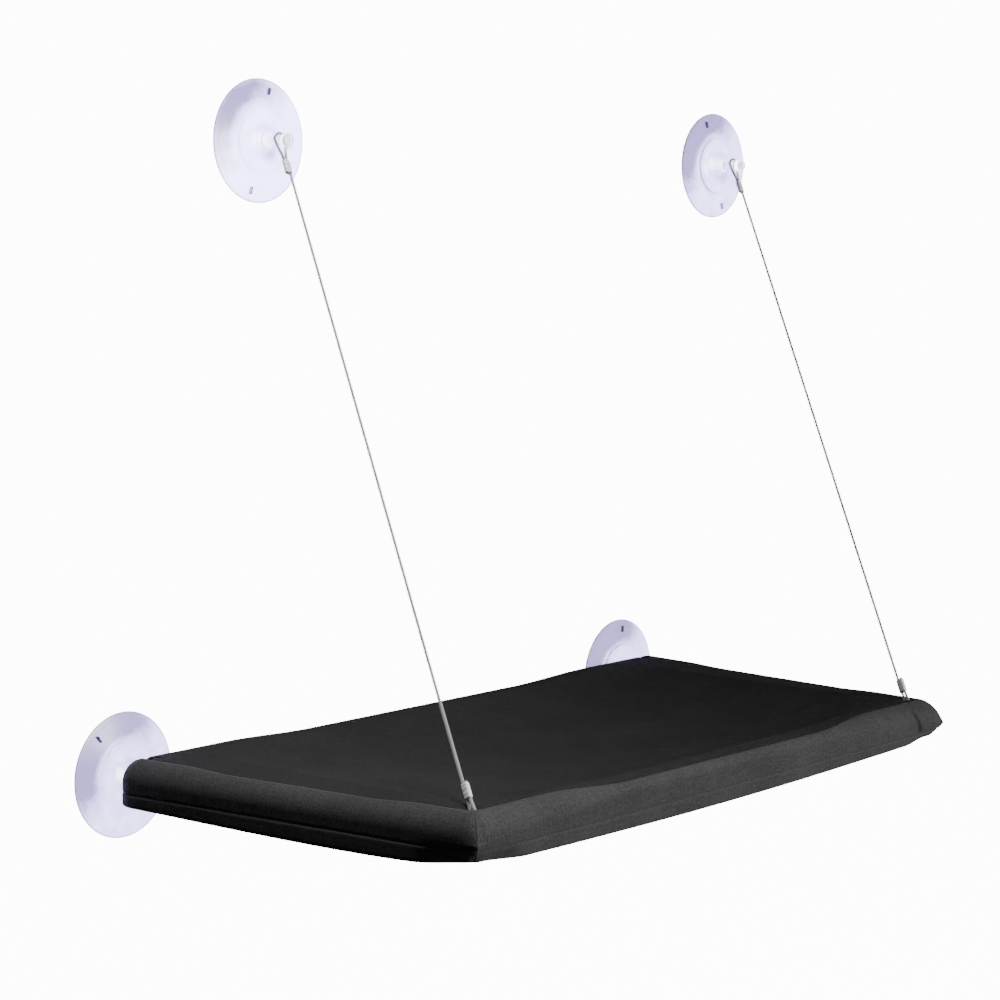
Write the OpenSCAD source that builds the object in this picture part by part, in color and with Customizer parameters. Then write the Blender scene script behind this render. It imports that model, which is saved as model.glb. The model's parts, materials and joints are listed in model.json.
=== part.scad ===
// Window mounted cat perch. Four suction cups hold it on the glass. The cloth bed is a cover
// over a tube frame that turns on its rear tube, and two cables carry its front corners.
// X runs along the glass, +Y points at the glass and +Z up. The glass is the plane Y = 0 and
// the origin lies on it, midway between the two lower cups.

/* [Bed frame] */
// Outside diameter of the frame tubes
tube_d = 21.3; // [20:0.1:23]
// Wall of the frame tubes
tube_wall = 2.75; // [2:0.05:3]
// Outside diameter of the moulded fittings
fitting_d = 27.3; // [26:0.1:30]
// Distance between the centre lines of the two end tubes
end_tube_spacing = 488; // [420:1:500]
// Distance between the centre lines of the rear and front tubes
bed_depth = 266; // [230:1:330]
// Depth of the sockets in the fittings
socket_depth = 20; // [14:1:26]
// Length of a rear fitting along the rear tube
tee_len = 30; // [28:1:36]
// Distance from the glass to the rear tube's centre line
glass_gap = 28; // [27:0.5:36]

/* [Suction cups] */
// Diameter of the suction cups
cup_d = 85; // [70:1:100]
// Distance between the centres of the two lower cups
lower_cup_spacing = 530; // [525:1:560]
// Sideways place of the left upper cup
upper_left_x = -134; // [-240:1:-60]
// Sideways place of the right upper cup
upper_right_x = 388; // [240:1:400]
// Diameter of a cup's neck
neck_d = 7.5; // [6:0.1:9]
// Diameter of the head on a cup's neck
head_d = 10; // [9.5:0.1:11]
// Height of a cup from the glass to the end of its head
cup_h = 31; // [30:0.5:34]
// Diameter of the thicker dome in a cup's middle
dome_d = 46; // [36:1:54]
// Width of the flat band that seals on the glass
seal_w = 4; // [2:0.5:6]

/* [Cables] */
// Distance from a cup's neck to the anchor pin along a cable
cable_len = 510; // [480:1:560]
// Diameter of the sheathed cable
cable_d = 2; // [1.6:0.1:2.4]
// Length of a crimp sleeve
sleeve_len = 10; // [8:0.5:14]
// Wall of a crimp sleeve
sleeve_wall = 0.75; // [0.5:0.05:1.2]
// Length of the open loop round a neck
neck_loop = 17; // [15:0.5:24]
// Length of the open loop round an anchor pin
pin_loop = 27; // [24:0.5:34]
// Diameter of an anchor pin
pin_d = 4; // [3:0.1:5]
// Height of an anchor pin above the front tube's centre line
pin_z = 5; // [4:0.5:7]
// Distance from an end tube's centre line in to its cable
cable_inset = 5; // [3:0.5:7]

/* [Cover] */
// Thickness of the cover's cloth
cloth_t = 1.2; // [0.8:0.1:1.4]
// Dip of the deck in its middle
deck_dip = 14; // [6:1:24]
// Rounding of the deck's front edge
front_round = 6; // [4:0.5:10]
// Rounding of the deck's other edges
edge_round = 12.5; // [9:0.5:13]
// Height of the cover's sides at the corners, below the tubes' centre lines
side_drop = 15.5; // [14:0.5:20]
// Further drop of the sides halfway between the corners
side_sag = 5; // [0:0.5:9]
// Height of the hem's seam below the tubes' centre lines
seam_drop = 8; // [7:0.5:9]
// Width of the elastic in the hem
elastic_w = 2.8; // [2:0.1:3]
// Width of the gap in the cover that a lower cup's neck passes
neck_gap_w = 9.4; // [9:0.1:11]

/* [Hidden] */
$fn = 64;
over = 1;

// Fits
run_gap = 0.06;
push_gap = 0.05;
stop_gap = 0.3;
cloth_gap = 0.4;
seat_gap = 0.3;
neck_hole_gap = 0.2;
seam_gap = 0.55;

// Frame places
head_r = head_d / 2;
tube_r = tube_d / 2;
bore_r = tube_r - tube_wall;
fit_r = fitting_d / 2;
rear_y = -glass_gap;
front_y = rear_y - bed_depth;
end_x = end_tube_spacing / 2;
lower_x = lower_cup_spacing / 2;
collar_w = 4;
collar_step = 0.7;
body_r = fit_r - collar_step;
arm_len = fit_r + socket_depth;
corner_core = fit_r;
cap_round = 3;
plug_gap = 0.6;
rear_core_x = lower_x + neck_gap_w / 2;
tube_end_x = rear_core_x + sqrt(pow(fit_r - cap_round, 2) - pow(tube_r - cap_round, 2));
cap_plug = tube_end_x - lower_x - head_r - plug_gap;

// Cup profile
cup_r = cup_d / 2;
neck_r = neck_d / 2;
dome_r = dome_d / 2;
rim_t = 1;
flange_t = 3.6;
dome_edge_h = 5.2;
dome_top_h = 10.2;
hollow_h = 2.2;
boss_r = 7;
boss_h = 11.6;
boss_round = 1;
neck_root = 1.2;
head_nose = 2.5;
head_seat_h = glass_gap - sqrt(bore_r * bore_r - head_r * head_r) + seat_gap;
pip_share = 0.8;
pip_len = 5;
pip_w = 1.4;
pip_h = 3;

// Cable places: each upper cup hangs where the taut cable reaches the neck
cable_r = cable_d / 2;
pin_r = pin_d / 2;
loop_h = head_seat_h - 4.7 * cable_r;
pin_x = end_x - cable_inset;
strand_gap = 0.3;
strand_off = cable_r + strand_gap / 2;
loop_gap = 0.15;
neck_loop_r = neck_r + cable_r + loop_gap;
pin_loop_r = pin_r + cable_r + loop_gap;
tail_len = 1;
cable_sides = 8;
slot_r = pin_loop_r + cable_r + 0.6 * cable_r;
pin_wall = 3;
pin_len = fit_r + cable_inset + slot_r + pin_wall;

function cup_rise(side_x, cup_x) =
    pin_z + sqrt(pow(cable_len, 2) - pow(cup_x - side_x, 2) - pow(-loop_h - front_y, 2));
upper_left_z = cup_rise(-pin_x, upper_left_x);
upper_right_z = cup_rise(pin_x, upper_right_x);
neck_left = [upper_left_x, -loop_h, upper_left_z];
neck_right = [upper_right_x, -loop_h, upper_right_z];
pin_left = [-pin_x, front_y, pin_z];
pin_right = [pin_x, front_y, pin_z];

// Cover places. The cover's sides keep one distance from four core lines: the front tube's,
// the rear tube's, and a line at each end from the front corner to the rear one beside a cup's neck.
side_r = fit_r + cloth_gap + cloth_t / 2;
end_slant = atan2(rear_core_x - end_x, bed_depth);
top_z = side_r;
corner_ring = 0.8;
hem_r = 1.4;
seam_z = -seam_drop;
rear_top_sag = fit_r - tube_r;
end_top_sag = 1.4;
corner_share = 0.13;
rise_share = 0.16;
end_power = 8;
dip_power = 2.5;
point_z = -1;
point_tuck = 5;
elastic_t = 0.7;
side_steps = 14;
turn_steps = 6;
deck_x_steps = 2 * side_steps;
deck_y_steps = side_steps;
fold_depth = 0.7;
fold_turns = 2.5;

function unit(v) = v / norm(v);
function edge_share(t) =
    let (s = min(1, max(0, (min(t, 1 - t) - corner_share) / rise_share)))
        s * s * (3 - 2 * s);

// The same share as the sides' straight pieces have it between their stations
function stepped_share(t) =
    let (s = t * side_steps, i = min(side_steps - 1, floor(s)))
        lerp(edge_share(i / side_steps), edge_share((i + 1) / side_steps), s - i);
function lerp(a, b, t) = a + (b - a) * t;

// Turns +Z to a direction
module along(v) {
    rotate([0, acos(v.z / norm(v)), atan2(v.y, v.x)]) children();
}

module mirrored() {
    mirror([1, 0, 0]) children();
}

// Suction cup, made round Z with its sealing face at Z = 0
module cup_half_profile() {
    difference() {
        union() {
            polygon([
                [0, 0], [cup_r - rim_t / 2, 0], [cup_r, rim_t / 2], [cup_r - rim_t / 2, rim_t],
                [dome_r, flange_t], [dome_r - (dome_edge_h - flange_t) / 2, dome_edge_h], [0, dome_edge_h]
            ]);
            intersection() {
                dome_shape();
                square([dome_r - (dome_edge_h - flange_t) / 2, dome_top_h]);
            }
            square([boss_r - boss_round, boss_h]);
            square([boss_r, boss_h - boss_round]);
            translate([boss_r - boss_round, boss_h - boss_round]) circle(r = boss_round);
            polygon([
                [0, boss_h], [neck_r + neck_root, boss_h], [neck_r, boss_h + neck_root], [0, boss_h + neck_root]
            ]);
            square([neck_r, head_seat_h + head_nose]);
            head_profile();
        }
        hollow_shape();
        translate([-cup_r, 0]) square([cup_r, cup_h]);
    }
}

// Ball through the dome's top and its edge
module dome_shape() {
    rise = dome_top_h - dome_edge_h;
    ball_r = (dome_r * dome_r + rise * rise) / (2 * rise);
    translate([0, dome_top_h - ball_r]) circle(r = ball_r, $fn = 180);
}

// Shallow hollow under the cup, inside the sealing band
module hollow_shape() {
    hollow_r = cup_r - seal_w - rim_t / 2;
    ball_r = (hollow_r * hollow_r + hollow_h * hollow_h) / (2 * hollow_h);
    intersection() {
        translate([0, hollow_h - ball_r]) circle(r = ball_r, $fn = 180);
        translate([0, -over]) square([cup_r, hollow_h + over]);
    }
}

module head_profile() {
    translate([0, head_seat_h]) square([head_r, cup_h - head_seat_h - head_nose]);
    translate([0, head_seat_h]) square([head_r - head_nose, cup_h - head_seat_h]);
    translate([head_r - head_nose, cup_h - head_nose]) circle(r = head_nose);
}

module cup() {
    rotate_extrude($fn = 120) cup_half_profile();
    for (a = [0, 180]) {
        rotate(a + 60) translate([pip_share * cup_r, 0, 0]) cup_pip();
    }
}

// Small moulded mark on the flange
module cup_pip() {
    translate([-pip_w / 2, -pip_len / 2, rim_t / 2]) cube([pip_w, pip_len, pip_h - rim_t / 2]);
}

module cup_at(x, z) {
    color([0.84, 0.83, 0.93, 0.6])
        translate([x, 0, z]) rotate([90, 0, 0]) cup();
}

module suction_cup_upper_left() { cup_at(upper_left_x, upper_left_z); }
module suction_cup_upper_right() { cup_at(upper_right_x, upper_right_z); }
module suction_cup_lower_left() { cup_at(-lower_x, 0); }
module suction_cup_lower_right() { cup_at(lower_x, 0); }

// Tube between two places on X, about the line Y = 0, Z = 0
module x_tube(x0, x1) {
    translate([x0, 0, 0]) rotate([0, 90, 0]) difference() {
        cylinder(r = tube_r, h = x1 - x0);
        translate([0, 0, -over]) cylinder(r = bore_r, h = x1 - x0 + 2 * over);
    }
}

// Rear tube: fixed on the lower cups' necks, whose heads sit inside it
module rear_tube() {
    color([0.9, 0.9, 0.88]) difference() {
        translate([0, rear_y, 0]) x_tube(-tube_end_x, tube_end_x);
        for (side = [-1, 1]) {
            translate([side * lower_x, rear_y, 0]) rotate([-90, 0, 0])
                cylinder(r = neck_r + neck_hole_gap, h = tube_r + over);
        }
    }
}

// Rounded cap with a hollow plug in the tube's end
module rear_cap_right() {
    color([0.2, 0.2, 0.21]) translate([tube_end_x, rear_y, 0]) rotate([0, 90, 0]) rotate_extrude() {
        square([tube_r - cap_round, cap_round]);
        translate([tube_r - cap_round, 0]) intersection() {
            circle(r = cap_round);
            square(cap_round);
        }
        translate([bore_r - tube_wall, -cap_plug]) square([tube_wall - push_gap, cap_plug + cap_round / 2]);
    }
}
module rear_cap_left() { mirrored() rear_cap_right(); }

// Outside of a fitting's arm along Z, with a collar at its mouth
module arm(len) {
    cylinder(r = body_r, h = len);
    translate([0, 0, len - collar_w]) cylinder(r = fit_r, h = collar_w);
}

// Rear fitting: its long bore turns on the rear tube, its socket holds an end tube
module tee_right() {
    color([0.88, 0.88, 0.86]) translate([end_x, rear_y, 0]) difference() {
        union() {
            rotate([0, 90, 0]) translate([0, 0, -tee_len / 2]) cylinder(r = body_r, h = tee_len);
            for (side = [-1, 1]) {
                translate([side * (tee_len - collar_w) / 2, 0, 0]) rotate([0, 90, 0])
                    cylinder(r = fit_r, h = collar_w, center = true);
            }
            rotate([90, 0, 0]) arm(arm_len);
        }
        rotate([0, 90, 0]) cylinder(r = tube_r + run_gap, h = tee_len + over, center = true);
        rotate([90, 0, 0]) translate([0, 0, arm_len - socket_depth])
            cylinder(r = tube_r + push_gap, h = socket_depth + over);
    }
}
module tee_left() { mirrored() tee_right(); }

module end_tube_right() {
    back = rear_y - arm_len + socket_depth - stop_gap;
    ahead = front_y + arm_len - socket_depth + stop_gap;
    color([0.9, 0.9, 0.88]) translate([end_x, ahead, 0]) rotate([-90, 0, 0]) difference() {
        cylinder(r = tube_r, h = back - ahead);
        translate([0, 0, -over]) cylinder(r = bore_r, h = back - ahead + 2 * over);
    }
}
module end_tube_left() { mirrored() end_tube_right(); }

module front_tube() {
    half = end_x - arm_len + socket_depth - stop_gap;
    color([0.9, 0.9, 0.88]) translate([0, front_y, 0]) x_tube(-half, half);
}

// Front fitting: two sockets, and a slot in its solid corner where the cable's loop takes the pin
module corner_body() {
    difference() {
        translate([end_x, front_y, 0]) union() {
            rotate([0, 90, 0]) sphere(r = fit_r);
            rotate([0, -90, 0]) arm(arm_len);
            rotate([-90, 0, 0]) arm(arm_len);
        }
        translate([end_x, front_y, 0]) rotate([0, -90, 0]) translate([0, 0, corner_core])
            cylinder(r = tube_r + push_gap, h = socket_depth + over);
        translate([end_x, front_y, 0]) rotate([-90, 0, 0]) translate([0, 0, corner_core])
            cylinder(r = tube_r + push_gap, h = socket_depth + over);
        anchor_pin_hole();
    }
}

module corner_right() {
    color([0.88, 0.88, 0.86]) difference() {
        corner_body();
        cable_slot(neck_right, pin_right);
    }
}

module corner_left() {
    color([0.88, 0.88, 0.86]) difference() {
        mirrored() corner_body();
        cable_slot(neck_left, pin_left);
    }
}

// Hole that a loop goes down, drilled along its own cable
module cable_slot(neck, pin) {
    translate(pin) along(neck - pin) translate([0, 0, -slot_r]) cylinder(r = slot_r, h = slot_r + 2 * fit_r);
}

module anchor_pin_hole() {
    translate([end_x + fit_r + over, front_y, pin_z]) rotate([0, -90, 0])
        cylinder(r = pin_r + push_gap, h = pin_len + over);
}

module anchor_pin_right() {
    color([0.75, 0.75, 0.77]) translate([end_x + pin_cap_depth(), front_y, pin_z]) rotate([0, -90, 0])
        cylinder(r = pin_r, h = pin_len - fit_r + pin_cap_depth() - stop_gap);
}
module anchor_pin_left() { mirrored() anchor_pin_right(); }

// Distance from the end tube's line out to the ball's surface at the pin's upper edge
function pin_cap_depth() = sqrt(pow(fit_r, 2) - pow(pin_z + pin_r, 2)) - stop_gap;

// Points of a loop: out along one side of a post, round it and back, then a short tail
function loop_points(post, ahead, across, post_axis, post_r, open_len) =
    let (
        back = unit(cross(post_axis, across)),
        turn = (back * ahead > 0) ? -back : back,
        side_a = [for (s = [open_len + sleeve_len, open_len]) post + ahead * s + across * strand_off],
        side_b = [for (s = [open_len, open_len + sleeve_len + tail_len]) post + ahead * s - across * strand_off],
        arc = [for (a = [0:20:180]) post + across * post_r * cos(a) + turn * post_r * sin(a)]
    )
    concat(side_a, arc, side_b);

// The whole cable: neck loop, straight run and pin loop, from one tail to the other
function cable_points(neck, pin) =
    let (
        down = unit(pin - neck),
        wide_top = unit(cross(down, [0, 1, 0])),
        wide_low = unit(cross(down, [1, 0, 0])),
        top = loop_points(neck, down, wide_top, [0, 1, 0], neck_loop_r, neck_loop),
        low = loop_points(pin, -down, wide_low, [1, 0, 0], pin_loop_r, pin_loop)
    )
    concat([for (i = [len(top) - 1:-1:0]) top[i]], low);

// Tube of one radius along points, each ring turned as little as possible from the last
function ring_axes(points, i, last) =
    let (
        n = len(points),
        ahead = unit(points[min(i + 1, n - 1)] - points[max(i - 1, 0)]),
        side = unit(last - ahead * (last * ahead))
    )
    (i == n - 1) ? [[ahead, side]] : concat([[ahead, side]], ring_axes(points, i + 1, side));

module swept_tube(points, r, sides) {
    first = points[1] - points[0];
    axes = ring_axes(points, 0, cross(first, [1, 1, 0.3]));
    verts = [
        for (i = [0:len(points) - 1], k = [0:sides - 1])
            let (a = 360 * k / sides, side = axes[i][1], up = cross(axes[i][0], side))
                points[i] + r * (cos(a) * side + sin(a) * up)
    ];
    solid_rings(verts, len(points), sides);
}

// Closed solid through rings of equal count, with flat ends cut into triangles
module solid_rings(verts, rings, count) {
    walls = [
        for (i = [0:rings - 2], k = [0:count - 1])
            let (a = i * count + k, b = i * count + (k + 1) % count)
                each [[a, b + count, b], [a, a + count, b + count]]
    ];
    first = [for (k = [1:count - 2]) [0, k, k + 1]];
    last_at = (rings - 1) * count;
    last = [for (k = [1:count - 2]) [last_at, last_at + k + 1, last_at + k]];
    polyhedron(points = verts, faces = concat(walls, first, last), convexity = 10);
}

module cable_left() {
    color([0.62, 0.64, 0.65]) swept_tube(cable_points(neck_left, pin_left), cable_r, cable_sides);
}
module cable_right() {
    color([0.62, 0.64, 0.65]) swept_tube(cable_points(neck_right, pin_right), cable_r, cable_sides);
}

// Flat oval outline round two strands
module oval(r) {
    translate([-strand_off, -r]) square([2 * strand_off, 2 * r]);
    for (side = [-1, 1]) {
        translate([side * strand_off, 0]) circle(r = r);
    }
}

// Crimp sleeve, its strands side by side along X
module sleeve() {
    lip = sleeve_len / 10;
    full_r = cable_r + push_gap + sleeve_wall;
    difference() {
        union() {
            linear_extrude(sleeve_len) oval(full_r - sleeve_wall / 4);
            translate([0, 0, lip]) linear_extrude(sleeve_len - 2 * lip) oval(full_r);
        }
        for (side = [-1, 1]) {
            translate([side * strand_off, 0, -over])
                cylinder(r = cable_r + push_gap, h = sleeve_len + 2 * over);
        }
    }
}

// Puts a sleeve on a cable, a loop's length from the post
module sleeve_at(post, ahead, across, open_len) {
    third = cross(ahead, across);
    color([0.85, 0.86, 0.87]) multmatrix([
        [across.x, third.x, ahead.x, post.x + open_len * ahead.x],
        [across.y, third.y, ahead.y, post.y + open_len * ahead.y],
        [across.z, third.z, ahead.z, post.z + open_len * ahead.z]
    ]) sleeve();
}

module upper_sleeve(neck, pin) {
    down = unit(pin - neck);
    sleeve_at(neck, down, unit(cross(down, [0, 1, 0])), neck_loop);
}

module lower_sleeve(neck, pin) {
    up = unit(neck - pin);
    sleeve_at(pin, up, unit(cross(up, [1, 0, 0])), pin_loop);
}

module sleeve_upper_left() { upper_sleeve(neck_left, pin_left); }
module sleeve_upper_right() { upper_sleeve(neck_right, pin_right); }
module sleeve_lower_left() { lower_sleeve(neck_left, pin_left); }
module sleeve_lower_right() { lower_sleeve(neck_right, pin_right); }

// A station on the cover's edge: core place, outward angle, rounding, top, hem, share of the point
function side_run(p, q, angle, round_r, top_sag) = [
    for (i = [0:side_steps])
        let (t = i / side_steps, e = edge_share(t))
            [
                lerp(p.x, q.x, t), lerp(p.y, q.y, t), angle, lerp(side_r - corner_ring, round_r, e),
                top_z - top_sag * e, -side_drop - side_sag * sin(180 * t), 0
            ]
];

function corner_turn(c, from, to, first_i, last_i, pointed) = [
    for (i = [first_i:last_i])
        let (t = i / turn_steps)
            [c.x, c.y, lerp(from, to, t), side_r - corner_ring, top_z, -side_drop, pointed * point_share(t)]
];

// Middle line of the cloth at a station, as distance out and height
function side_path(s) =
    let (r = s[3], top = s[4], hem = s[5], flat = side_r - r, inner = side_r - 2 * hem_r)
        concat(
            [for (a = [90:-22.5:0]) [flat + r * cos(a), top - r + r * sin(a)]],
            [[side_r, seam_z], [side_r, hem + hem_r]],
            [for (a = [-45:-45:-135]) [side_r - hem_r + hem_r * cos(a), hem + hem_r + hem_r * sin(a)]],
            [[inner, hem + hem_r], [inner, seam_z - 2 * hem_r], [inner + hem_r - cloth_t / 4, seam_z - hem_r / 2]]
        );

function path_normal(path, i) =
    let (n = len(path), d = unit(path[min(i + 1, n - 1)] - path[max(i - 1, 0)]))
        [-d.y, d.x];

// A front corner stands out to a point and tucks in under it, towards the hem
point_out = side_r * (sqrt(2) - 1);
function point_share(t) = (1 / cos(90 * min(t, 1 - t)) - 1) / (sqrt(2) - 1);
function point_shift(z) = (z > point_z)
    ? point_out * (top_z - z) / (top_z - point_z)
    : lerp(point_out, -point_tuck, (point_z - z) / (point_z + side_drop));

function side_ring(s) =
    let (
        path = side_path(s),
        n = len(path),
        outer = [for (i = [0:n - 1]) path[i] + path_normal(path, i) * cloth_t / 2],
        inner = [for (i = [n - 1:-1:0]) path[i] - path_normal(path, i) * cloth_t / 2]
    )
    [
        for (q = concat(outer, inner))
            let (d = q.x + s[6] * point_shift(q.y))
                [s[0] + d * cos(s[2]), s[1] + d * sin(s[2]), q.y]
    ];

module side_cloth(stations) {
    rings = [for (s = stations) side_ring(s)];
    count = len(rings[0]);
    color([0.13, 0.13, 0.14])
        solid_rings([for (ring = rings, p = ring) p], len(rings), count);
}

front_right = [end_x, front_y];
rear_right = [rear_core_x, rear_y];
front_left = [-end_x, front_y];
rear_left = [-rear_core_x, rear_y];
half_turn = turn_steps / 2;

// Way for the lower cups' necks through the deck's rear edge, which they cross as the bed folds
module neck_way() {
    for (side = [-1, 1]) {
        translate([side * lower_x - neck_gap_w / 2 - over, rear_y - neck_gap_w / 2, 0])
            cube([neck_gap_w + 2 * over, fitting_d, fitting_d]);
    }
}

module cover_front() {
    side_cloth(concat(
        corner_turn(front_left, -180 + end_slant, -90, half_turn, turn_steps - 1, 1),
        side_run(front_left, front_right, -90, front_round, 0),
        corner_turn(front_right, -90, -end_slant, 1, half_turn, 1)
    ));
}

// The end's cloth turns both corners
module cover_right() {
    side_cloth(concat(
        corner_turn(front_right, -90, -end_slant, half_turn, turn_steps - 1, 1),
        side_run(front_right, rear_right, -end_slant, edge_round, end_top_sag),
        corner_turn(rear_right, -end_slant, 90, 1, turn_steps, 0)
    ));
}
module cover_left() { mirrored() cover_right(); }

// The rear side stops short of the gaps that the necks pass
module cover_rear() {
    stop = lower_x - neck_gap_w / 2;
    side_cloth(side_run([stop, rear_y], [-stop, rear_y], 90, edge_round, rear_top_sag));
}

// Deck: a sheet over the frame that dips between the tubes, with a few shallow folds
function deck_share(u, v) = edge_share(u) * edge_share(v);

function deck_dish(x, y) =
    let (
        sx = min(1, abs(x) / (end_x - fit_r)),
        sy = min(1, abs(y - (front_y + rear_y) / 2) / (bed_depth / 2 - fit_r / 2))
    )
    (1 - pow(sx, dip_power)) * (1 - pow(sy, dip_power));

function deck_point(u, v, lift) =
    let (
        share_x = stepped_share(u),
        share_y = stepped_share(v),
        grow_front = side_r - lerp(side_r - corner_ring, front_round, share_x) - seam_gap,
        grow_rear = side_r - lerp(side_r - corner_ring, edge_round, share_x) - seam_gap,
        grow_end = side_r - lerp(side_r - corner_ring, edge_round, share_y) - seam_gap,
        half = lerp(end_x, rear_core_x, v),
        x = lerp(-half - grow_end, half + grow_end, u),
        y = lerp(front_y - grow_front, rear_y + grow_rear, v),
        dish = deck_dish(x, y),
        folds = fold_depth * dish * sin(360 * fold_turns * (u + v / 2)),
        edge = v * rear_top_sag * share_x + end_top_sag * share_y * pow(abs(2 * u - 1), end_power)
    )
    [x, y, top_z - edge - deck_dip * dish + folds + lift];

module deck_sheet() {
    row = deck_x_steps + 1;
    layer = row * (deck_y_steps + 1);
    verts = [
        for (lift = [-cloth_t / 2, cloth_t / 2], j = [0:deck_y_steps], i = [0:deck_x_steps])
            deck_point(i / deck_x_steps, j / deck_y_steps, lift)
    ];
    low = [
        for (j = [0:deck_y_steps - 1], i = [0:deck_x_steps - 1])
            let (a = j * row + i)
                each [[a, a + row + 1, a + 1], [a, a + row, a + row + 1]]
    ];
    high = [for (f = low) [f[0] + layer, f[2] + layer, f[1] + layer]];
    border = concat(
        [for (i = [0:deck_x_steps - 1]) i],
        [for (j = [0:deck_y_steps - 1]) j * row + deck_x_steps],
        [for (i = [deck_x_steps:-1:1]) deck_y_steps * row + i],
        [for (j = [deck_y_steps:-1:1]) j * row]
    );
    rim = [
        for (k = [0:len(border) - 1])
            let (a = border[k], b = border[(k + 1) % len(border)])
                each [[a, b, b + layer], [a, b + layer, a + layer]]
    ];
    polyhedron(points = verts, faces = [for (f = concat(low, high, rim)) [f[0], f[2], f[1]]], convexity = 10);
}

module cover_deck() {
    color([0.12, 0.12, 0.13]) difference() {
        deck_sheet();
        neck_way();
        cable_slot(neck_left, pin_left);
        cable_slot(neck_right, pin_right);
    }
}

// Elastic that draws the hem in, a closed band inside it
function elastic_ring(s) =
    let (
        mid = side_r - hem_r,
        low = s[5] + hem_r + elastic_t / 2,
        corners = [[-1, 0], [1, 0], [1, 1], [-1, 1]]
    )
    [
        for (c = corners)
            let (z = low + c.y * elastic_w, d = mid + c.x * elastic_t / 2 + s[6] * point_shift(z))
                [s[0] + d * cos(s[2]), s[1] + d * sin(s[2]), z]
    ];

module hem_elastic() {
    stations = concat(
        side_run(front_left, front_right, -90, front_round, 0),
        corner_turn(front_right, -90, -end_slant, 1, turn_steps - 1, 1),
        side_run(front_right, rear_right, -end_slant, edge_round, end_top_sag),
        corner_turn(rear_right, -end_slant, 90, 1, turn_steps - 1, 0),
        side_run(rear_right, rear_left, 90, edge_round, rear_top_sag),
        corner_turn(rear_left, 90, 180 + end_slant, 1, turn_steps - 1, 0),
        side_run(rear_left, front_left, 180 + end_slant, edge_round, end_top_sag),
        corner_turn(front_left, 180 + end_slant, 270, 1, turn_steps - 1, 1)
    );
    rings = [for (s = stations) elastic_ring(s)];
    n = len(rings);
    verts = [for (ring = rings, p = ring) p];
    faces = [
        for (i = [0:n - 1], k = [0:3])
            let (a = i * 4 + k, b = i * 4 + (k + 1) % 4, c = ((i + 1) % n) * 4 + k, d = ((i + 1) % n) * 4 + (k + 1) % 4)
                each [[a, d, b], [a, c, d]]
    ];
    color([0.85, 0.85, 0.83]) polyhedron(points = verts, faces = faces, convexity = 10);
}

suction_cup_upper_left();
suction_cup_upper_right();
suction_cup_lower_left();
suction_cup_lower_right();
rear_tube();
rear_cap_left();
rear_cap_right();
tee_left();
tee_right();
end_tube_left();
end_tube_right();
corner_left();
corner_right();
front_tube();
anchor_pin_left();
anchor_pin_right();
cable_left();
cable_right();
sleeve_upper_left();
sleeve_upper_right();
sleeve_lower_left();
sleeve_lower_right();
cover_deck();
cover_front();
cover_rear();
cover_left();
cover_right();
hem_elastic();
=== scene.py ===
import math

import bpy
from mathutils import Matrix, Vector, noise
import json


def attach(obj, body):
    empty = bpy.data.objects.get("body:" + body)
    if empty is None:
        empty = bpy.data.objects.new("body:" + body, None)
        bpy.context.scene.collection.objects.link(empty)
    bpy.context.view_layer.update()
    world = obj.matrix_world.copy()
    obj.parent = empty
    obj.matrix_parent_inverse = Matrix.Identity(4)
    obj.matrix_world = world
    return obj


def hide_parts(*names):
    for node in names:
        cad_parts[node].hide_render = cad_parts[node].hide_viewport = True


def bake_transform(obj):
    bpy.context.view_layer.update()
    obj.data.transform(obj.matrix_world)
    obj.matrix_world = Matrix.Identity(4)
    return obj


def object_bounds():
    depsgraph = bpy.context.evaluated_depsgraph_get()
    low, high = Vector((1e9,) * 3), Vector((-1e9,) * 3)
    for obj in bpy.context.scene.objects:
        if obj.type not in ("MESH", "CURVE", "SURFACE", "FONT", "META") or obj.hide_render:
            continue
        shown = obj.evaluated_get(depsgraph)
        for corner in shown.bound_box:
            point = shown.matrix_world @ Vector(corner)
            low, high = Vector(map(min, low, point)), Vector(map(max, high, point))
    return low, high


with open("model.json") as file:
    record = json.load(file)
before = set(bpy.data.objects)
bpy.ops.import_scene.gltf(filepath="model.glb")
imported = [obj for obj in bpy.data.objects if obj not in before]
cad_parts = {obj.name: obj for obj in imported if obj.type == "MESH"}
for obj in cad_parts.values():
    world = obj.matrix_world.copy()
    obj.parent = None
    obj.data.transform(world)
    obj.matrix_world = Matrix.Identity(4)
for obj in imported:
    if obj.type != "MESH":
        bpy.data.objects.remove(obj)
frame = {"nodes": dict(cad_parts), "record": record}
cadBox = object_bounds()

# Camera: stands left of the bed and looks along the window, a little down
cameraPlan = {
    "place": (-1.4907, -1.3891, 0.3876),
    "azimuth": 49.22,   # degrees from +Y towards +X
    "pitch": 6.33,      # degrees down
    "lens": 100.9,
    "sensor": 36,
    "farthest": 50,
}


def addCamera():
    camera = bpy.data.objects.new("photoCamera", bpy.data.cameras.new("photoCamera"))
    bpy.context.scene.collection.objects.link(camera)
    camera.location = cameraPlan["place"]
    camera.rotation_euler = (
        math.radians(90 - cameraPlan["pitch"]),
        0,
        math.radians(-cameraPlan["azimuth"]),
    )
    camera.data.lens = cameraPlan["lens"]
    camera.data.sensor_width = cameraPlan["sensor"]
    camera.data.clip_end = cameraPlan["farthest"]
    bpy.context.scene.camera = camera


addCamera()
print("camera placed")


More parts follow.
